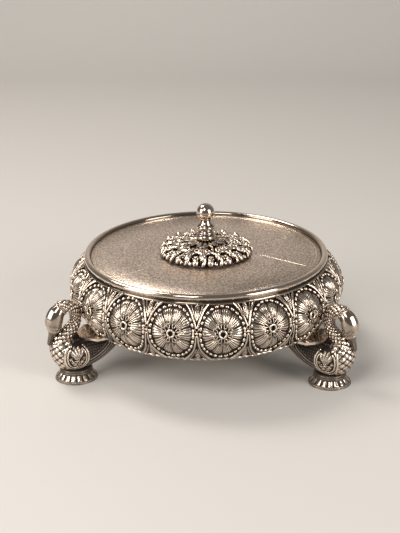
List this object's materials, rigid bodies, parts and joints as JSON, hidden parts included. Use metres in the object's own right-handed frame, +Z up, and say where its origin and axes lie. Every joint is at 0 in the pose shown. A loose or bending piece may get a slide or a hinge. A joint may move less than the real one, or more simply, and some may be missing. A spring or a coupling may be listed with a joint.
{
  "type": "dry fruit box",
  "caption": "Round footed dry fruit box in oxidised nickel silver: embossed bowl on swan legs, pan parted into compartments, and a lift-off lid with a pierced rosette and a turned knob.",
  "frame": {"origin": "on the box's axis, at the level where the three feet stand", "axes": "+Z up along the box's axis; the back leg is at +Y, so the box's front, between the other two legs, faces -Y"},
  "size_m": [0.2546, 0.2625, 0.1331],
  "materials": {
    "oxidised_silver": "satin",
    "polished_silver": "gloss",
    "plain_silver": "satin",
    "lid_silver": "satin",
    "steel": "satin"
  },
  "bodies": {
    "box": {"bowl_wall": "oxidised_silver", "border_ring": "oxidised_silver", "base_plate": "oxidised_silver", "rim_roll": "polished_silver", "liner_pan": "plain_silver", "divider_long": "plain_silver", "divider_cross": "plain_silver", "leg_screws": "steel", "right_swan_foot": "polished_silver", "right_swan_body": "oxidised_silver", "right_swan_neck": "oxidised_silver", "right_swan_collar": "oxidised_silver", "right_swan_head": "polished_silver", "right_swan_wing_right": "oxidised_silver", "right_swan_wing_left": "oxidised_silver", "right_swan_tail_plate": "oxidised_silver", "back_swan_foot": "polished_silver", "back_swan_body": "oxidised_silver", "back_swan_neck": "oxidised_silver", "back_swan_collar": "oxidised_silver", "back_swan_head": "polished_silver", "back_swan_wing_right": "oxidised_silver", "back_swan_wing_left": "oxidised_silver", "back_swan_tail_plate": "oxidised_silver", "left_swan_foot": "polished_silver", "left_swan_body": "oxidised_silver", "left_swan_neck": "oxidised_silver", "left_swan_collar": "oxidised_silver", "left_swan_head": "polished_silver", "left_swan_wing_right": "oxidised_silver", "left_swan_wing_left": "oxidised_silver", "left_swan_tail_plate": "oxidised_silver"},
    "lid": {"lid_plate": "lid_silver", "lid_ring": "plain_silver", "filigree_rosette": "oxidised_silver", "knob": "polished_silver", "knob_washer": "steel", "knob_nut": "steel"}
  },
  "joints": [
    {"name": "lid_lift", "type": "slide", "parent": "box", "child": "lid", "axis": [0, 0, 1], "range_m": [0, 0.1]}
  ]
}
